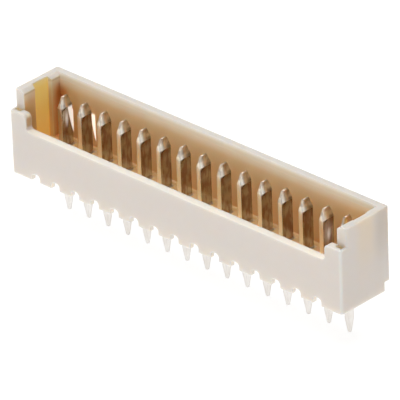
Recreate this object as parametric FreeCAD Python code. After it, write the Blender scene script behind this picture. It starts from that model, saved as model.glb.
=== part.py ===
"""Straight shrouded pin header: a moulded housing, open at the top, around one row of flat contacts.

Millimetres, +Z up. The origin is the middle of the contact row, on the face of the circuit board.
X runs along the row, and Y from the low front wall to the full back wall. The solder tails point down,
and the plug comes in from above.
"""
import FreeCAD
import Part
import math
import os
from FreeCAD import Vector

# Contact row
CONTACTS = 15
PITCH = 1.25
END_MARGIN = 1.5            # middle of the last contact to the end face of the housing

# Housing, outside
FRONT_REACH = 2.075         # contact row to the front face
BACK_REACH = 1.125          # contact row to the back face
HEIGHT = 4.2                # board to rim
CORNER_ROUND = 0.12         # upright outer corners
RIM_ROUND = 0.04            # outer top edges

# Housing, walls
FRONT_WALL = 0.4
FRONT_WALL_TOP = 2.45       # board to the top of the low front wall
POST_TOP = 3.25             # board to the top of the corner posts
POST_WIDTH = 1.0            # end face to the post's inner side
POST_ROUND = 0.25           # inner top corner of each post
POST_FOOT_ROUND = 0.2       # hollow corner between each post and the low front wall
END_WALL = 0.55
END_SETBACK = 0.4           # front face to the front edge of the full-height end walls
BACK_WALL = 0.45
BACK_LEAD_IN_WIDTH = 0.1    # chamfers that guide the plug in at the rim
BACK_LEAD_IN_HEIGHT = 0.25
END_LEAD_IN_WIDTH = 0.2
END_LEAD_IN_HEIGHT = 0.15

# Key grooves for the plug's end ribs, open at the rim
GROOVE_PLACE = -0.38        # contact row to the middle of each groove, along Y
GROOVE_WIDTH = 0.95
GROOVE_DEPTH = 0.24
GROOVE_FLARE = 0.08         # how much wider each side is at its mouth

# Blind relief in the top of each post, at the foot of the end wall's front edge
RELIEF_LENGTH = 0.38        # along X
RELIEF_WIDTH = 0.2
RELIEF_DEPTH = 0.35
RELIEF_SKIN = 0.12          # left standing at the end face

# Floor and underside
STANDOFF = 0.46             # board to the underside of the floor
FLOOR = 0.64                # thickness of the floor
FOOT_WALL = 0.25            # thickness of the front wall below the floor
REAR_STEP = 0.38            # how far the end walls' feet stop short of the back face
NOTCH_WIDTH = 0.52          # arched notches in the front wall's lower edge, one below each contact
NOTCH_HEIGHT = 0.36
NOTCH_ROUND = 0.2

# Contacts
SHEET = 0.25                # thickness of the stamped strip, along X
BLADE_WIDTH = 0.72
TIP_BELOW_RIM = 0.57
TIP_WIDTH = 0.36
TIP_THICKNESS = 0.09
TIP_ROUND = 0.05            # corners of the tip, seen from the end of the row
TIP_FACE_ROUND = 0.02       # corners of the tip, seen from the front
SHOULDER_DROP = 0.42        # height over which the blade widens from its tip
SHOULDER_ROUND = 0.6
COIN_DROP = 0.56            # height over which it thickens from its tip, in a hollow curve
COIN_NECK = 0.58            # share of that height that stays thin
COIN_SWELL = 0.005          # how much each side thickens down to the end of the neck
COIN_ROUND = 0.7            # of the hollow curve
BLADE_EDGE_ROUND = 0.03
BARB_WIDTH = 0.8            # across the barbs
BARBS = 1                   # on each edge of the blade
BARB_PLACE = 0.8            # top of a barb, as a share of its stretch of the slot
BARB_HEIGHT = 0.6           # height of a barb, as a share of the same stretch
LEDGE = 0.14                # floor left under the blade's shoulders
TAIL_WIDTH = 0.35
TAIL_LENGTH = 2.3           # below the board's face
POINT_LENGTH = 0.7
POINT_SIZE = 0.12           # end of the tail's point, both ways

# Slots for the contacts
SLOT_CLEARANCE = 0.015      # each side of a contact in its slot
MOUTH_FLARE = 0.14          # lead-in round the top of each slot
MOUTH_DEPTH = 0.18

# Sizes that follow
half_length = (CONTACTS - 1) * PITCH / 2 + END_MARGIN
front = -FRONT_REACH
back = BACK_REACH
inner_half = half_length - END_WALL
inner_front = front + FRONT_WALL
inner_back = back - BACK_WALL
window_half = half_length - POST_WIDTH
floor_top = STANDOFF + FLOOR
ledge_top = STANDOFF + LEDGE
grip_top = floor_top - MOUTH_DEPTH
tip_top = HEIGHT - TIP_BELOW_RIM
OVERRUN = 1.0               # how far a cutting tool runs out past the housing
OVERLAP = 0.1               # how far one cutting tool reaches into the next
ROUND_LIMIT = 0.49          # most that a round may take of the shorter side beside it
TOUCHING = 1e-6


def contact_places():
    """X of each contact, from left to right."""
    return [(k - (CONTACTS - 1) / 2) * PITCH for k in range(CONTACTS)]


def outline(corners, place):
    """A closed wire through corners (a, b) or (a, b, radius), where place(a, b) gives the point in space.

    A radius that its neighbouring sides are too short for is made smaller.
    """
    count = len(corners)
    flat = [Vector(c[0], c[1], 0) for c in corners]
    starts = []
    arcs = []
    for k, corner in enumerate(corners):
        radius = corner[2] if len(corner) > 2 else 0
        if radius <= 0:
            starts.append((flat[k], flat[k]))
            arcs.append(None)
            continue
        to_last = (flat[k - 1] - flat[k]).normalize()
        to_next = (flat[(k + 1) % count] - flat[k]).normalize()
        half_angle = to_last.getAngle(to_next) / 2
        shorter = min((flat[k - 1] - flat[k]).Length, (flat[(k + 1) % count] - flat[k]).Length)
        reach = min(radius / math.tan(half_angle), ROUND_LIMIT * shorter)
        radius = reach * math.tan(half_angle)
        middle = (to_last + to_next).normalize()
        deep = radius / math.sin(half_angle) - radius
        starts.append((flat[k] + to_last * reach, flat[k] + to_next * reach))
        arcs.append(flat[k] + middle * deep)
    edges = []
    for k in range(count):
        arrive, leave = starts[k]
        if arcs[k] is not None:
            bend = Part.Arc(place(*arrive[:2]), place(*arcs[k][:2]), place(*leave[:2]))
            edges.append(bend.toShape())
        following = starts[(k + 1) % count][0]
        if (following - leave).Length > TOUCHING:
            edges.append(Part.makeLine(place(*leave[:2]), place(*following[:2])))
    return Part.Wire(edges)


def prism(corners, place, along):
    """The outline's face, swept by the vector along."""
    return Part.Face(outline(corners, place)).extrude(along)


def near(a, b):
    return abs(a - b) < TOUCHING


def block(x0, x1, y0, y1, z0, z1):
    return Part.makeBox(x1 - x0, y1 - y0, z1 - z0, Vector(x0, y0, z0))


def flared(x0, x1, y0, y1, z0, z1, spread):
    """A block between z0 and z1 whose top is wider by spread on each side."""
    def loop(grow, z):
        left, right, near_side, far_side = x0 - grow, x1 + grow, y0 - grow, y1 + grow
        corners = [(left, near_side), (right, near_side), (right, far_side), (left, far_side)]
        return outline(corners, lambda a, b: Vector(a, b, z))
    return Part.makeLoft([loop(0, z0), loop(spread, z1)], True, True)


def shell_block():
    """The end view, with its stepped front edge and its raised rear foot, drawn along the whole length."""
    end_view = [
        (front, 0),
        (back - REAR_STEP, 0),
        (back - REAR_STEP, STANDOFF),
        (back, STANDOFF),
        (back, HEIGHT),
        (front + END_SETBACK, HEIGHT),
        (front + END_SETBACK, POST_TOP),
        (front, POST_TOP),
    ]
    body = prism(end_view, lambda a, b: Vector(-half_length, a, b), Vector(2 * half_length, 0, 0))
    upright = [e for e in body.Edges if is_upright(e) and not inside_step(e)]
    return body.makeFillet(CORNER_ROUND, upright)


def is_upright(edge):
    a, b = (v.Point for v in edge.Vertexes)
    return near(a.x, b.x) and near(a.y, b.y)


def inside_step(edge):
    """True for the short upright edges of the rear foot, which stay sharp."""
    return near(edge.CenterOfMass.y, back - REAR_STEP)


def cavity():
    """The space for the plug: the common part of its front view and its end view, so that the lead-ins mitre."""
    top = HEIGHT + OVERRUN
    start = front - OVERRUN
    end_mouth = inner_half + END_LEAD_IN_WIDTH
    back_mouth = inner_back + BACK_LEAD_IN_WIDTH
    half_front_view = [
        (inner_half, floor_top),
        (inner_half, HEIGHT - END_LEAD_IN_HEIGHT),
        (end_mouth, HEIGHT),
        (end_mouth, top),
    ]
    end_view = [
        (inner_front, floor_top),
        (inner_back, floor_top),
        (inner_back, HEIGHT - BACK_LEAD_IN_HEIGHT),
        (back_mouth, HEIGHT),
        (back_mouth, top),
        (start, top),
        (start, POST_TOP),
        (inner_front, POST_TOP),
    ]
    across = prism(mirrored(half_front_view), lambda a, b: Vector(a, start, b), Vector(0, back_mouth - start, 0))
    along = prism(end_view, lambda a, b: Vector(-end_mouth, a, b), Vector(2 * end_mouth, 0, 0))
    return across.common(along)


def front_opening():
    """What is cut away above the low front wall, between the posts and then between the end walls."""
    top = HEIGHT + OVERRUN
    stepped = [
        (-inner_half, top),
        (-inner_half, POST_TOP),
        (-window_half, POST_TOP, POST_ROUND),
        (-window_half, FRONT_WALL_TOP, POST_FOOT_ROUND),
        (window_half, FRONT_WALL_TOP, POST_FOOT_ROUND),
        (window_half, POST_TOP, POST_ROUND),
        (inner_half, POST_TOP),
        (inner_half, top),
    ]
    depth = OVERRUN + FRONT_WALL + OVERLAP
    return prism(stepped, lambda a, b: Vector(a, front - OVERRUN, b), Vector(0, depth, 0))


def key_groove(side):
    """One groove in an end wall: side is -1 on the left and 1 on the right."""
    half = GROOVE_WIDTH / 2
    mouth = half + GROOVE_FLARE
    section = [
        (inner_half - OVERLAP, GROOVE_PLACE - mouth),
        (inner_half, GROOVE_PLACE - mouth),
        (inner_half + GROOVE_DEPTH, GROOVE_PLACE - half),
        (inner_half + GROOVE_DEPTH, GROOVE_PLACE + half),
        (inner_half, GROOVE_PLACE + mouth),
        (inner_half - OVERLAP, GROOVE_PLACE + mouth),
    ]
    height = HEIGHT + OVERRUN - floor_top
    return prism(section, lambda a, b: Vector(side * a, b, floor_top), Vector(0, 0, height))


def post_relief(side):
    """The blind relief in one post's top, against the front edge of the end wall."""
    outer = half_length - RELIEF_SKIN
    x0, x1 = sorted((side * (outer - RELIEF_LENGTH), side * outer))
    y1 = front + END_SETBACK
    return block(x0, x1, y1 - RELIEF_WIDTH, y1, POST_TOP - RELIEF_DEPTH, POST_TOP + OVERLAP)


def underside():
    """The space under the floor, open to the back and closed in front by the front wall."""
    return block(-inner_half, inner_half, front + FOOT_WALL, back + OVERRUN, -OVERRUN, STANDOFF)


def front_notch(x):
    """A notch in the front wall's lower edge, with rounded upper corners."""
    half = NOTCH_WIDTH / 2
    arched = [
        (x - half, -OVERRUN),
        (x + half, -OVERRUN),
        (x + half, NOTCH_HEIGHT, NOTCH_ROUND),
        (x - half, NOTCH_HEIGHT, NOTCH_ROUND),
    ]
    return prism(arched, lambda a, b: Vector(a, front - OVERRUN, b), Vector(0, OVERRUN + FOOT_WALL + OVERLAP, 0))


def contact_slot(x):
    """The stepped slot through the floor: blade above the ledge, tail below it, flared at its mouth."""
    half_x = SHEET / 2 + SLOT_CLEARANCE
    grip = BARB_WIDTH / 2 + SLOT_CLEARANCE
    tail = TAIL_WIDTH / 2 + SLOT_CLEARANCE
    upper = block(x - half_x, x + half_x, -grip, grip, ledge_top, floor_top)
    lower = block(x - half_x, x + half_x, -tail, tail, STANDOFF - OVERLAP, ledge_top)
    mouth = flared(x - half_x, x + half_x, -grip, grip, grip_top, floor_top, MOUTH_FLARE)
    return upper.fuse([lower, mouth])


def round_rim(body):
    """Ease the outer top edges of the rim, the posts and the low front wall."""
    def level(points):
        return any(all(near(p.z, z) for p in points) for z in (FRONT_WALL_TOP, POST_TOP, HEIGHT))

    def on_skin(points):
        low = all(near(p.y, front) for p in points)
        high = all(near(p.z, HEIGHT) and (near(abs(p.x), half_length) or near(p.y, back)) for p in points)
        return low or high

    chosen = []
    for edge in body.Edges:
        ends = [v.Point for v in edge.Vertexes]
        if len(ends) == 2 and level(ends) and on_skin(ends):
            chosen.append(edge)
    return body.makeFillet(RIM_ROUND, chosen)


def housing():
    tools = [front_opening(), underside()]
    tools += [key_groove(side) for side in (-1, 1)]
    tools += [post_relief(side) for side in (-1, 1)]
    tools += [front_notch(x) for x in contact_places()]
    tools += [contact_slot(x) for x in contact_places()]
    body = shell_block().cut([cavity()] + tools).removeSplitter()
    return round_rim(body).Solids[0]


def contact_side_view():
    """Half of the stamped outline, from the tip down to the point of the tail."""
    blade = BLADE_WIDTH / 2
    half = [
        (TIP_WIDTH / 2, tip_top, TIP_ROUND),
        (blade, tip_top - SHOULDER_DROP, SHOULDER_ROUND),
    ]
    stretch = (grip_top - ledge_top) / BARBS
    for k in reversed(range(BARBS)):
        top = ledge_top + (k + BARB_PLACE) * stretch
        half.append((blade, top))
        half.append((BARB_WIDTH / 2, top))
        half.append((blade, top - BARB_HEIGHT * stretch))
    half += [
        (blade, ledge_top),
        (TAIL_WIDTH / 2, ledge_top),
        (TAIL_WIDTH / 2, POINT_LENGTH - TAIL_LENGTH),
        (POINT_SIZE / 2, -TAIL_LENGTH),
    ]
    return half


def contact_front_view():
    """Half of the thickness, coined hollow towards the thin tip and drawn to a point at the tail."""
    neck = TIP_THICKNESS / 2 + COIN_SWELL
    return [
        (TIP_THICKNESS / 2, tip_top, TIP_FACE_ROUND),
        (neck, tip_top - COIN_NECK * COIN_DROP, COIN_ROUND),
        (SHEET / 2, tip_top - COIN_DROP),
        (SHEET / 2, POINT_LENGTH - TAIL_LENGTH),
        (POINT_SIZE / 2, -TAIL_LENGTH),
    ]


def mirrored(half):
    """The whole closed outline from its right half."""
    return half + [(-c[0],) + tuple(c[1:]) for c in reversed(half)]


def contact():
    """One stamped contact, as the common part of its side view and its front view."""
    reach = BARB_WIDTH + OVERRUN
    side = prism(mirrored(contact_side_view()), lambda a, b: Vector(-SHEET / 2, a, b), Vector(SHEET, 0, 0))
    blade_edges = [e for e in side.Edges if is_upright(e) and e.CenterOfMass.z > floor_top]
    side = side.makeFillet(BLADE_EDGE_ROUND, blade_edges)
    thick = prism(mirrored(contact_front_view()), lambda a, b: Vector(a, -reach / 2, b), Vector(0, reach, 0))
    return side.common(thick).removeSplitter().Solids[0]


def main():
    os.makedirs("parts", exist_ok=True)
    housing().exportStep("parts/housing.step")
    blank = contact()
    for k, x in enumerate(contact_places()):
        placed = blank.copy()
        placed.translate(Vector(x, 0, 0))
        placed.exportStep(f"parts/terminal_{k + 1:02d}.step")


main()
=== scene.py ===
"""Looks of a straight shrouded pin header: natural nylon, plated contacts and white product-shot light.

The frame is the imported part's own: X along the contact row, Y from the low front wall to the full back wall,
+Z up from the board. Sizes and places are in millimetres, the unit that both materials work in, and are
turned into metres where an object is set up. Angles are in degrees.
"""
import math

import bpy
from mathutils import Matrix, Vector


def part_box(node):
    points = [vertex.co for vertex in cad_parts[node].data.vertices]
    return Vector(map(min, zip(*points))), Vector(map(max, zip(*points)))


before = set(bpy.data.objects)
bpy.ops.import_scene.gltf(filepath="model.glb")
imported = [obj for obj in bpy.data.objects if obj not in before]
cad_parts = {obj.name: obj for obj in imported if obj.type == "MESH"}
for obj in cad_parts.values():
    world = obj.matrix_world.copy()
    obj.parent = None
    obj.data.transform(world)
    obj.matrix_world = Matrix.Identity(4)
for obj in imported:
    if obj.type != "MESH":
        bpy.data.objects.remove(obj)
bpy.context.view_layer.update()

MM = 0.001
BLACK = (0.0, 0.0, 0.0, 1.0)

# Photograph: the picture's side in pixels, the lens in pixels, and where the camera stands and looks
PICTURE = 400
LENS_PIXELS = 7120
SENSOR_WIDTH = 36
CAMERA_AZIMUTH = 44.394
CAMERA_ELEVATION = 29.125
CAMERA_ROLL = -2.161
CAMERA_DISTANCE = 321.25
CAMERA_AIM = (0.27, -0.59, 1.64)
NEAREST_SEEN = 10
FARTHEST_SEEN = 10000

# Housing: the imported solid's faces, and the walls and openings that its cavity keeps
HOUSING_LOW, HOUSING_HIGH = (Vector(corner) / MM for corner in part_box("housing"))
HALF_LENGTH = HOUSING_HIGH.x
RIM = HOUSING_HIGH.z
FRONT_FACE = HOUSING_LOW.y
BACK_FACE = HOUSING_HIGH.y
FRONT_WALL_BACK = FRONT_FACE + 0.4
FRONT_WALL_TOP = 2.45
BACK_WALL_MIDDLE = BACK_FACE - 0.225
BACK_WALL_FRONT = BACK_FACE - 0.45
END_WALL_INSIDE = HALF_LENGTH - 0.55
FLOOR_TOP = 1.1
POST_INSIDE = HALF_LENGTH - 1.0
POST_TOP = 3.25
RELIEF_FRONT = FRONT_FACE + 0.19
RELIEF_BACK = FRONT_FACE + 0.41
RELIEF_FOOT = 2.85
GROOVE_FRONT = -0.93
GROOVE_BACK = 0.17
GROOVE_BOTTOM = END_WALL_INSIDE + 0.24

# Contacts: the point of the tip, the ridge where its coined part ends, and places in the row
CONTACT_LOW, CONTACT_HIGH = (Vector(corner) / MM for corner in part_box("terminal_01"))
TIP = CONTACT_HIGH.z
RIDGE = TIP - 0.56
PITCH = 1.25
CONTACT_1 = (CONTACT_LOW.x + CONTACT_HIGH.x) / 2
CONTACT_14 = CONTACT_1 + 13 * PITCH

# Nylon: edges that the light sees as rounded, roughness, and how far light travels under the skin
NYLON_EDGE = 0.035
NYLON_EDGE_SAMPLES = 4
NYLON_ROUGHNESS = (0.42, 0.56)
NYLON_IOR = 1.52
SCATTER_DISTANCE = 0.3
SCATTER_BY_COLOUR = (1.0, 0.88, 0.7)

# Plating: the same, and how far the flat faces of a coined tip lean outward and up
CONTACT_EDGE = 0.1
CONTACT_EDGE_SAMPLES = 6
PLATING_ROUGHNESS = (0.3, 0.5)
ROLLED_SMOOTHNESS = 0.18
TIP_LEAN = 5.0
TIP_LIFT = 0.1

# How squarely a face looks along the row, where the rolled sides' finish starts and where it is complete
ROLLED_FACING = (0.75, 0.97)

# Noise: scale per millimetre, detail, roughness, and for some how much finer it is along X, Y and Z
GRAIN = (38.0, 5.0, 0.6)
SWELL = (2.5, 2.0, 0.5)
MOTTLE = (1.7, 4.0, 0.5)
CLOUD = (1.3, 3.0, 0.5)
WAVES = (1.6, 2.0, 0.5)
STRIP_LINES = (3.0, 3.0, 0.5, (1.0, 6.0, 0.8))
REFLECTION_MOTTLE = (1.0, 2.5, 0.5, (1.3, 5.0, 1.6))
PATCHY_SHADE = (1.0, 0.0, 0.5, (1.3, 3.5, 3.5))

# Bumps: height of each kind of noise, and how much of the bump shows
GRAIN_HEIGHT = 0.002
SWELL_HEIGHT = 0.01
NYLON_BUMP = 0.35
LINE_HEIGHT = 0.004
WAVE_HEIGHT = 0.06
PLATING_BUMP = 0.4

# Painted light in the cavity, by depth: amber, as light passed through the nylon, and a band of painted shade
# just under the rim. 0 is at the rim and 1 on the floor. Display colours, 0 to 255.
SHAFT_PAINTED_LIGHT = [
    (0.0, (240, 232, 216)),
    (0.07, (228, 212, 184)),
    (0.09, (246, 230, 202)),
    (0.24, (242, 212, 160)),
    (0.5, (241, 207, 152)),
    (1.0, (240, 203, 147)),
]
# Painted light in the key grooves: yellow, as light comes through the thin wall behind them
GROOVE_PAINTED_LIGHT = [
    (0.0, (250, 228, 172)),
    (0.15, (252, 222, 134)),
    (0.6, (252, 212, 108)),
    (1.0, (250, 200, 90)),
]

# Nylon outside, on upright faces, and on faces that look up, painted darker as shade
UPRIGHT_NYLON = (236, 229, 222)
SHADED_LEVEL_NYLON = (226, 221, 214)

# Plating, as the two colours that a slow cloud runs between; the rolled sides painted darker as shade
TAIL_PLATING = [(0.3, (233, 228, 222)), (0.7, (240, 237, 233))]
EDGE_PLATING = [(0.3, (240, 228, 210)), (0.7, (246, 238, 226))]
SHADED_SIDE_PLATING = [(0.3, (182, 181, 174)), (0.7, (200, 200, 194))]

# Tints by place, most of them painted light and shade: a display colour, and how much of it shows
# On the nylon: a lit front wall, amber light toward the ends, shade in the back corners, highlights on the low
# rim and front edge, light over the groove, shade behind it and on the post's flank, and a glow in the relief,
# all painted; the mottle is the nylon's own uneven tone
NYLON_TINTS = {
    "lit_front_wall": ((252, 245, 232), 1.0),
    "amber_light_toward_end": ((222, 170, 92), 0.25),
    "back_corner_shade": ((222, 134, 50), 0.85),
    "low_rim_highlight": ((243, 236, 225), 1.0),
    "front_edge_highlight": ((244, 243, 237), 0.75),
    "light_over_groove": ((238, 226, 208), 1.0),
    "shade_behind_groove": ((222, 211, 199), 1.0),
    "relief_glow": ((250, 234, 204), 1.0),
    "post_flank_shade": ((220, 188, 146), 1.0),
    "mottle": ((214, 198, 176), 0.12),
}
# On the plating: painted reflections low on the strip and in mottled patches, painted shade by the corner,
# below the ridge, at the neck, above the ridge, in patches and beside the edge, a painted highlight on the
# coined tip and in lit bands, and a darker, warmer tone toward the point
PLATING_TINTS = {
    "low_strip_reflection": ((236, 238, 238), 0.6),
    "shadow_by_corner": ((150, 128, 96), 0.4),
    "coined": ((255, 248, 236), 1.0),
    "lit": ((220, 214, 204), 0.4),
    "shade_below_ridge": ((140, 117, 69), 0.5),
    "point": ((198, 154, 108), 0.4),
    "neck_shade": ((150, 116, 84), 0.5),
    "shade": ((104, 88, 58), 0.55),
    "mottled_reflection": ((150, 110, 94), 0.6),
    "patchy_shade": ((120, 92, 66), 0.35),
    "shade_beside_edge": ((120, 110, 92), 0.15),
}

# Painted glows, for light that comes through the thin wall behind each groove, and for light that the contacts
# throw around them
GROOVE_GLOW = (0.13, 0.12, 0.035, 1.0)
GLEAM = (0.88, 0.84, 0.76, 1.0)

# Wedges of painted light: where the upright side is, width, low end, high end, brightness
WALL_WEDGES = [(-7.49, 0.3, 1.4, 2.78, 1.0), (-8.92, 0.16, 1.4, 2.6, 1.0)]
WEDGE_1 = (0.42, 0.37, 1.55, 3.05, 0.85)

# Streaks of painted light: middle in Y and in Z, half width, half height, brightness
STREAK_1 = (-0.03, 2.5, 0.16, 0.6, 0.45)
STREAK_14 = (0.0, 2.3, 0.15, 0.42, 0.28)
HAZE_14 = (-0.08, 2.4, 0.5, 0.85, 0.13)
SHOULDER = (-0.2, RIDGE + 0.09, 0.16, 0.2, 0.26)

# How much of its painted shoulder highlight contact 1 lacks, in the painted shadow by the corner
LOST_BY_CORNER = 0.77

# Floor
FLOOR_LEVEL = CONTACT_LOW.z - 0.02
FLOOR_SPAN = 3000
SWEEP_MATT = (0.28, 0.28, 0.28, 1.0)
SWEEP_GLOW = (0.872, 0.87, 0.866, 1.0)

# Sky: how bright it is all over, and how much brighter up to the height where the white rim ends
SKY_GLOW = 0.05
RIM_GLOW = 0.95
RIM_HEIGHT = 0.05
RIM_SOFTNESS = 0.015

# Soft boxes: name, azimuth, elevation, side in millimetres, power in watts
LIGHT_DISTANCE = 500
SOFT_BOXES = [
    ("overhead", 0, 88, 500, 2.1),
    ("front", -10, 58, 500, 0.28),
    ("front_left", -42, 10, 280, 0.1),
    ("left", -90, 40, 500, 0.78),
    ("behind", 180, 58, 500, 0.2),
]


def linear(colour):
    """A display colour, 0 to 255, as linear light."""
    def one(value):
        v = value / 255
        return v / 12.92 if v <= 0.04045 else ((v + 0.055) / 1.055) ** 2.4
    return (*(one(value) for value in colour), 1.0)


def direction(azimuth, elevation):
    """The way from the part to something seen at this azimuth and elevation."""
    a, e = math.radians(azimuth), math.radians(elevation)
    return Vector((math.sin(a) * math.cos(e), -math.cos(a) * math.cos(e), math.sin(e)))


class Graph:
    """Short hand for building one node tree. A value is a number, or the output of a node."""

    def __init__(self, tree):
        self.tree = tree
        self.tree.nodes.clear()

    def add(self, kind, settings=None, **inputs):
        """A node, with its settings and its inputs by name."""
        node = self.tree.nodes.new(kind)
        for name, value in (settings or {}).items():
            setattr(node, name, value)
        for name, value in inputs.items():
            self.feed(node.inputs[name.replace("_", " ")], value)
        return node

    def feed(self, socket, value):
        """Sets a socket to a number, or links it to another node's output."""
        if isinstance(value, bpy.types.NodeSocket):
            self.tree.links.new(value, socket)
        else:
            socket.default_value = value

    def math(self, operation, a, b=0.0, clamp=False):
        node = self.add("ShaderNodeMath", {"operation": operation, "use_clamp": clamp})
        self.feed(node.inputs[0], a)
        self.feed(node.inputs[1], b)
        return node.outputs[0]

    def times(self, first, *others):
        """All the values multiplied."""
        for other in others:
            first = self.math("MULTIPLY", first, other)
        return first

    def most(self, first, *others):
        """The largest of the values."""
        for other in others:
            first = self.math("MAXIMUM", first, other)
        return first

    def vector(self, operation, a, b=(0.0, 0.0, 0.0)):
        node = self.add("ShaderNodeVectorMath", {"operation": operation})
        self.feed(node.inputs[0], a)
        self.feed(node.inputs[1], b)
        return node.outputs[0]

    def split(self, vector):
        """The three parts of a vector."""
        return self.add("ShaderNodeSeparateXYZ", Vector=vector).outputs

    def ramp(self, value, low, high):
        """0 below low and 1 above high, smooth between them."""
        smooth = {"interpolation_type": "SMOOTHSTEP"}
        node = self.add("ShaderNodeMapRange", smooth, Value=value, From_Min=low, From_Max=high)
        return node.outputs["Result"]

    def below(self, value, edge, soft):
        """1 below the edge and 0 above it."""
        return self.math("SUBTRACT", 1.0, self.ramp(value, edge - soft, edge + soft))

    def band(self, value, low, high, soft):
        """1 between low and high, and 0 outside."""
        return self.times(self.ramp(value, low - soft, low + soft), self.below(value, high, soft))

    def spread(self, value, low, high):
        """A value of 0 to 1, as one from low to high."""
        return self.add("ShaderNodeMapRange", Value=value, To_Min=low, To_Max=high).outputs["Result"]

    def mix(self, amount, first, second):
        """The first colour where the amount is 0, and the second where it is 1."""
        node = self.add("ShaderNodeMix", {"data_type": "RGBA"})
        self.feed(node.inputs[0], amount)
        self.feed(node.inputs[6], first)
        self.feed(node.inputs[7], second)
        return node.outputs[2]

    def tint(self, colour, tints, places):
        """The colour under one tint after the other, each in its own place."""
        for name, place in places.items():
            toward, amount = tints[name]
            colour = self.mix(self.times(place, amount), colour, linear(toward))
        return colour

    def colours(self, value, stops):
        """A smooth run of colours, from stops of value and display colour."""
        node = self.add("ShaderNodeValToRGB", Fac=value)
        bar = node.color_ramp
        bar.interpolation = "EASE"
        while len(bar.elements) < len(stops):
            bar.elements.new(0.5)
        for element, (position, colour) in zip(bar.elements, stops):
            element.position = position
            element.color = linear(colour)
        return node.outputs["Color"]

    def noise(self, place, scale, detail, roughness, stretch=None):
        """Noise of 0 to 1, finer along an axis where its stretch is larger."""
        if stretch:
            place = self.vector("MULTIPLY", place, stretch)
        node = self.add("ShaderNodeTexNoise", Vector=place, Scale=scale, Detail=detail, Roughness=roughness)
        return node.outputs["Fac"]

    def bump(self, height, strength, normal):
        """The normal, tilted by a height in millimetres."""
        node = self.add("ShaderNodeBump", Height=height, Strength=strength, Distance=MM, Normal=normal)
        return node.outputs["Normal"]

    def wedge(self, across, z, side, width, low, high, brightness):
        """A patch of light with one upright side, that narrows to a point at its low end."""
        climb = self.math("MULTIPLY", self.math("SUBTRACT", z, low), 1 / (high - low), clamp=True)
        taper = self.times(self.math("POWER", climb, 0.7), width)
        from_far_side = self.math("SUBTRACT", self.math("ADD", across, taper), side)
        inside = self.times(self.ramp(from_far_side, -0.03, 0.04), self.below(across, side, 0.03))
        return self.times(inside, self.band(z, low, high, 0.08), brightness)

    def streak(self, across, z, middle, middle_z, half_width, half_height, brightness):
        """A soft oval of light."""
        off_x = self.math("DIVIDE", self.math("SUBTRACT", across, middle), half_width)
        off_z = self.math("DIVIDE", self.math("SUBTRACT", z, middle_z), half_height)
        squares = self.math("ADD", self.times(off_x, off_x), self.times(off_z, off_z))
        return self.times(self.below(self.math("SQRT", squares), 0.5, 0.5), brightness)


class Surface:
    """Where the shaded point lies in the row frame, in millimetres, and which way its face looks."""

    def __init__(self, g):
        where = g.add("ShaderNodeTexCoord").outputs["Object"]
        self.place = g.vector("MULTIPLY", where, (1 / MM, 1 / MM, 1 / MM))
        self.x, self.y, self.z = g.split(self.place)
        self.from_middle = g.math("ABSOLUTE", self.x)
        self.facing_x, _, self.facing_z = g.split(g.add("ShaderNodeNewGeometry").outputs["Normal"])


def new_material(name):
    material = bpy.data.materials.new(name)
    material.use_nodes = True
    return material, Graph(material.node_tree)


def find_cavity(g, at):
    """Where the walls of the plug cavity are, and where the bottoms of its key grooves are."""
    shaft = g.band(at.y, FRONT_WALL_BACK - 0.04, BACK_WALL_MIDDLE, 0.02)
    shaft = g.times(shaft, g.below(at.from_middle, END_WALL_INSIDE + 0.03, 0.02))
    groove = g.band(at.y, GROOVE_FRONT, GROOVE_BACK, 0.02)
    groove = g.times(groove, g.below(at.from_middle, GROOVE_BOTTOM + 0.04, 0.02))
    shaft = g.most(shaft, groove)
    groove = g.times(groove, g.ramp(at.from_middle, GROOVE_BOTTOM - 0.08, GROOVE_BOTTOM - 0.02))
    height = g.times(g.ramp(at.z, FLOOR_TOP - 0.2, FLOOR_TOP - 0.05), g.below(at.z, RIM - 0.06, 0.06))
    return g.times(shaft, height), g.times(groove, height)


def shaft_colour(g, at, depth):
    """The nylon inside: painted amber light toward the floor and the ends, painted orange shade in the back
    corners, and a front wall painted pale as lit.
    """
    ends = g.ramp(at.from_middle, 2.0, END_WALL_INSIDE)
    corners = g.ramp(at.from_middle, END_WALL_INSIDE - 0.7, END_WALL_INSIDE - 0.1)
    corners = g.times(corners, g.ramp(at.y, 0.15, BACK_WALL_FRONT - 0.075))
    return g.tint(g.colours(depth, SHAFT_PAINTED_LIGHT), NYLON_TINTS, {
        "lit_front_wall": g.below(at.y, FRONT_WALL_BACK + 0.05, 0.03),
        "amber_light_toward_end": g.times(ends, g.below(at.z, RIM - 0.8, 0.3)),
        "back_corner_shade": g.times(corners, g.below(at.z, RIM - 0.65, 0.3)),
    })


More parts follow.
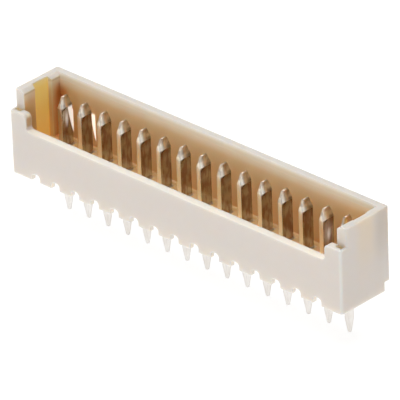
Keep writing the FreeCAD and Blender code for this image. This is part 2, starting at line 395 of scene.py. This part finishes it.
def skin_colour(g, at):
    """The nylon outside: painted highlights on the low rim and the front's edge, warmer with painted light
    where it comes through over the groove, painted shade behind the groove and on the post's flank, a painted
    glow in the relief, and tops painted darker as shade.
    """
    looks_up = g.ramp(at.facing_z, 0.3, 0.8)
    corner = g.ramp(at.from_middle, HALF_LENGTH - 0.16, HALF_LENGTH - 0.06)
    end_face = g.ramp(at.from_middle, HALF_LENGTH - 0.1, HALF_LENGTH - 0.05)
    end_face = g.times(end_face, g.ramp(at.z, 0.8, RIM - 0.6))
    relief_glow = g.band(at.y, RELIEF_FRONT, RELIEF_BACK, 0.02)
    relief_glow = g.times(relief_glow, g.band(at.z, RELIEF_FOOT, POST_TOP - 0.03, 0.02))
    flank = g.below(at.from_middle, POST_INSIDE + 0.08, 0.08)
    flank = g.times(flank, g.band(at.z, FRONT_WALL_TOP + 0.17, POST_TOP - 0.13, 0.1))
    upright, level = linear(UPRIGHT_NYLON), linear(SHADED_LEVEL_NYLON)
    return g.tint(g.mix(g.ramp(at.facing_z, 0.5, 0.95), upright, level), NYLON_TINTS, {
        "low_rim_highlight": g.times(looks_up, g.band(at.z, FRONT_WALL_TOP - 0.15, FRONT_WALL_TOP + 0.1, 0.05)),
        "front_edge_highlight": g.times(corner, g.below(at.y, FRONT_FACE + 0.09, 0.05)),
        "light_over_groove": g.times(end_face, g.band(at.y, GROOVE_FRONT, GROOVE_BACK, 0.35)),
        "shade_behind_groove": g.times(end_face, g.ramp(at.y, GROOVE_BACK - 0.3, GROOVE_BACK + 0.4)),
        "relief_glow": g.times(relief_glow, g.below(at.from_middle, HALF_LENGTH - 0.06, 0.02)),
        "post_flank_shade": g.times(flank, g.band(at.y, FRONT_FACE + 0.08, FRONT_WALL_BACK, 0.06)),
    })


def nylon():
    """Natural nylon: cream where the light falls on it, with painted amber light in the depth of the cavity, a
    painted glow in the key grooves, and painted highlights on the back wall.
    """
    material, g = new_material("natural_nylon")
    at = Surface(g)
    in_shaft, in_groove = find_cavity(g, at)
    depth = g.math("DIVIDE", g.math("SUBTRACT", RIM, at.z), RIM - FLOOR_TOP)
    colour = g.mix(in_shaft, skin_colour(g, at), shaft_colour(g, at, depth))
    colour = g.mix(in_groove, colour, g.colours(depth, GROOVE_PAINTED_LIGHT))
    colour = g.tint(colour, NYLON_TINTS, {"mottle": g.noise(at.place, *MOTTLE)})
    # Painted light: a glow in the key grooves, and wedges of painted highlight on the back wall beside
    # contacts 1 and 2
    on_back_wall = g.band(at.y, BACK_WALL_FRONT - 0.08, BACK_WALL_MIDDLE, 0.04)
    gleam = g.most(*(g.wedge(at.x, at.z, *wedge) for wedge in WALL_WEDGES))
    glow = g.mix(in_groove, BLACK, GROOVE_GLOW)
    glow = g.mix(g.times(on_back_wall, gleam), glow, GLEAM)
    grain = g.noise(at.place, *GRAIN)
    swell = g.noise(at.place, *SWELL)
    height = g.math("ADD", g.times(grain, GRAIN_HEIGHT), g.times(swell, SWELL_HEIGHT))
    eased = g.add("ShaderNodeBevel", {"samples": NYLON_EDGE_SAMPLES}, Radius=NYLON_EDGE * MM)
    shader = g.add(
        "ShaderNodeBsdfPrincipled",
        Base_Color=colour,
        Roughness=g.spread(grain, *NYLON_ROUGHNESS),
        Normal=g.bump(height, NYLON_BUMP, eased.outputs[0]),
        IOR=NYLON_IOR,
        Subsurface_Weight=1.0,
        Subsurface_Radius=SCATTER_BY_COLOUR,
        Subsurface_Scale=SCATTER_DISTANCE * MM,
        Emission_Color=glow,
        Emission_Strength=1.0,
    )
    g.add("ShaderNodeOutputMaterial", Surface=shader.outputs["BSDF"])
    return material


def tip_shade(g, at, rolled, coined):
    """The darker half of a coined tip: faint below its point, and stronger above the ridge."""
    below_point = g.times(rolled, g.band(at.z, TIP - 0.26, TIP - 0.1, 0.06), g.ramp(at.y, -0.1, 0.12))
    above_ridge = g.times(coined, g.below(at.z, RIDGE + 0.12, 0.07), g.ramp(at.y, -0.02, 0.26))
    return g.most(g.times(below_point, 0.15), above_ridge)


def plating_colour(g, at, rolled, inside, coined, blade_side, shadow_by_corner):
    """The plating by place: pale cut edges, rolled sides painted darker as shade, a coined tip painted paler
    as a highlight, and painted reflections, light and shade in bands and patches.
    """
    cloud = g.noise(at.place, *CLOUD)
    colour = g.mix(inside, g.colours(cloud, TAIL_PLATING), g.colours(cloud, EDGE_PLATING))
    colour = g.tint(colour, PLATING_TINTS, {
        "low_strip_reflection": g.times(inside, g.below(at.z, FLOOR_TOP + 0.9, 0.5)),
        "shadow_by_corner": shadow_by_corner,
        "coined": g.times(coined, inside),
    })
    colour = g.mix(blade_side, colour, g.colours(cloud, SHADED_SIDE_PLATING))
    lit = g.band(at.z, RIDGE - 0.62, RIDGE - 0.42, 0.1)
    lit = g.math("ADD", lit, g.below(at.z, FLOOR_TOP + 0.3, 0.25))
    neck_shade = g.band(at.z, TIP - 0.3, TIP - 0.15, 0.05)
    mottled_reflection = g.noise(at.place, *REFLECTION_MOTTLE)
    patchy_shade = g.noise(at.place, *PATCHY_SHADE)
    # Painted light and shade on the blade and tip: lit bands, shade below the ridge, at the neck and beside
    # the edge, mottled reflections and patchy shade; the point only turns darker and warmer
    return g.tint(colour, PLATING_TINTS, {
        "lit": g.times(blade_side, lit),
        "shade_below_ridge": g.times(blade_side, g.ramp(at.z, RIDGE - 0.36, RIDGE - 0.06)),
        "point": g.ramp(at.z, TIP - 0.22, TIP - 0.08),
        "neck_shade": g.times(neck_shade, g.math("SUBTRACT", 1.0, rolled)),
        "shade": tip_shade(g, at, rolled, coined),
        "mottled_reflection": g.times(blade_side, g.ramp(mottled_reflection, 0.42, 0.62)),
        "patchy_shade": g.times(coined, g.ramp(patchy_shade, 0.45, 0.75)),
        "shade_beside_edge": g.times(blade_side, g.band(at.y, -0.25, -0.14, 0.05)),
    })


def plating_normal(g, at, lines):
    """Softened edges, crowned faces on the coined tip, and the strip's faint lines and waves."""
    around_ridge = g.band(at.z, RIDGE - 0.2, RIDGE + 0.2, 0.1)
    radius = g.times(g.math("ADD", around_ridge, 1.0), CONTACT_EDGE * MM)
    eased = g.add("ShaderNodeBevel", {"samples": CONTACT_EDGE_SAMPLES}, Radius=radius)
    crown = g.ramp(at.z, RIDGE - 0.14, RIDGE + 0.06)
    lean = g.add("ShaderNodeCombineXYZ", Y=g.times(at.y, TIP_LEAN, crown), Z=g.times(crown, TIP_LIFT))
    normal = g.vector("NORMALIZE", g.vector("ADD", eased.outputs[0], lean.outputs[0]))
    waves = g.noise(at.place, *WAVES)
    height = g.math("ADD", g.times(lines, LINE_HEIGHT), g.times(waves, WAVE_HEIGHT))
    return g.bump(height, PLATING_BUMP, normal)


def plating_glow(g, at, coined, shadow_by_corner):
    """Painted light on the right sides, as from the neighbours: glints on contacts 1 and 14, and a highlight
    on every tip's shoulder.
    """
    on_1 = g.band(at.x, CONTACT_1 - 0.25, CONTACT_1 + 0.25, 0.05)
    on_14 = g.band(at.x, CONTACT_14 - 0.25, CONTACT_14 + 0.25, 0.05)
    first = g.most(g.wedge(at.y, at.z, *WEDGE_1), g.streak(at.y, at.z, *STREAK_1))
    last = g.math("ADD", g.streak(at.y, at.z, *STREAK_14), g.streak(at.y, at.z, *HAZE_14))
    seen = g.math("SUBTRACT", 1.0, g.times(shadow_by_corner, LOST_BY_CORNER))
    shoulder = g.times(g.streak(at.y, at.z, *SHOULDER), coined, seen)
    patches = g.most(g.times(on_1, first), g.times(on_14, last), shoulder)
    return g.mix(g.times(g.ramp(at.facing_x, *ROLLED_FACING), patches), BLACK, GLEAM)


def plating():
    """Tin plating on a stamped strip: smooth on its rolled sides, rougher on its cut front and back edges."""
    material, g = new_material("plated_contact")
    at = Surface(g)
    rolled = g.ramp(g.math("ABSOLUTE", at.facing_x), *ROLLED_FACING)
    inside = g.ramp(at.z, FLOOR_TOP - 0.1, FLOOR_TOP + 0.1)
    coined = g.ramp(at.z, RIDGE - 0.03, RIDGE + 0.03)
    blade_side = g.times(rolled, inside, g.math("SUBTRACT", 1.0, coined))
    shadow_by_corner = g.times(g.band(at.x, CONTACT_1 - 0.35, CONTACT_1 + 0.35, 0.05), inside)
    lines = g.noise(at.place, *STRIP_LINES)
    rough = g.spread(lines, *PLATING_ROUGHNESS)
    shader = g.add(
        "ShaderNodeBsdfPrincipled",
        Base_Color=plating_colour(g, at, rolled, inside, coined, blade_side, shadow_by_corner),
        Metallic=1.0,
        Roughness=g.math("SUBTRACT", rough, g.times(blade_side, ROLLED_SMOOTHNESS)),
        Normal=plating_normal(g, at, lines),
        Emission_Color=plating_glow(g, at, coined, shadow_by_corner),
        Emission_Strength=1.0,
    )
    g.add("ShaderNodeOutputMaterial", Surface=shader.outputs["BSDF"])
    return material


def dress(node, material):
    """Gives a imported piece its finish."""
    node.data.materials.clear()
    node.data.materials.append(material)


def lay_floor():
    """A white sweep, bright enough to lose its shadows as the photograph's background does."""
    material, g = new_material("white_sweep")
    both = g.add("ShaderNodeAddShader")
    g.feed(both.inputs[0], g.add("ShaderNodeBsdfDiffuse", Color=SWEEP_MATT).outputs[0])
    g.feed(both.inputs[1], g.add("ShaderNodeEmission", Color=SWEEP_GLOW, Strength=1.0).outputs[0])
    g.add("ShaderNodeOutputMaterial", Surface=both.outputs[0])
    half = FLOOR_SPAN / 2 * MM
    corners = [(-half, -half), (half, -half), (half, half), (-half, half)]
    mesh = bpy.data.meshes.new("sweep")
    mesh.from_pydata([(x, y, FLOOR_LEVEL * MM) for x, y in corners], [], [(0, 1, 2, 3)])
    mesh.materials.append(material)
    floor = bpy.data.objects.new("sweep", mesh)
    bpy.context.scene.collection.objects.link(floor)


def add_softbox(name, azimuth, elevation, side, power):
    """A square light that faces the part from azimuth and elevation."""
    away = direction(azimuth, elevation)
    data = bpy.data.lights.new(name, "AREA")
    data.size = side * MM
    data.energy = power
    light = bpy.data.objects.new(name, data)
    light.location = away * LIGHT_DISTANCE * MM
    light.rotation_mode = "QUATERNION"
    light.rotation_quaternion = away.to_track_quat("Z", "Y")
    bpy.context.scene.collection.objects.link(light)


def light_room():
    """Soft boxes in a dim sky, whose rim is white like the far edge of the sweep."""
    world = bpy.data.worlds.new("studio")
    bpy.context.scene.world = world
    world.use_nodes = True
    g = Graph(world.node_tree)
    climb = g.split(g.add("ShaderNodeTexCoord").outputs["Generated"])[2]
    white_rim = g.times(g.below(climb, RIM_HEIGHT, RIM_SOFTNESS), RIM_GLOW)
    strength = g.math("ADD", white_rim, SKY_GLOW)
    shader = g.add("ShaderNodeBackground", Color=(1.0, 1.0, 1.0, 1.0), Strength=strength)
    g.add("ShaderNodeOutputWorld", Surface=shader.outputs[0])
    for box in SOFT_BOXES:
        add_softbox(*box)


def add_camera():
    """The photograph's view: its direction, roll and lens, with no shift."""
    back = direction(CAMERA_AZIMUTH, CAMERA_ELEVATION)
    level = direction(CAMERA_AZIMUTH + 90, 0)
    data = bpy.data.cameras.new("camera")
    data.lens = LENS_PIXELS / PICTURE * SENSOR_WIDTH
    data.sensor_width = SENSOR_WIDTH
    data.clip_start = NEAREST_SEEN * MM
    data.clip_end = FARTHEST_SEEN * MM
    camera = bpy.data.objects.new("camera", data)
    axes = Matrix((level, back.cross(level), back)).transposed()
    roll = Matrix.Rotation(math.radians(CAMERA_ROLL), 3, "Z")
    camera.rotation_mode = "QUATERNION"
    camera.rotation_quaternion = (axes @ roll).to_quaternion()
    camera.location = (Vector(CAMERA_AIM) + back * CAMERA_DISTANCE) * MM
    bpy.context.scene.collection.objects.link(camera)
    bpy.context.scene.camera = camera


def set_display():
    """Colours as they are, with no look or exposure on top."""
    settings = bpy.context.scene.view_settings
    settings.view_transform = "Standard"
    settings.look = "None"
    settings.exposure = 0
    settings.gamma = 1


def main():
    add_camera()
    set_display()
    lay_floor()
    light_room()
    shell = nylon()
    metal = plating()
    for name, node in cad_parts.items():
        dress(node, shell if name == "housing" else metal)


main()
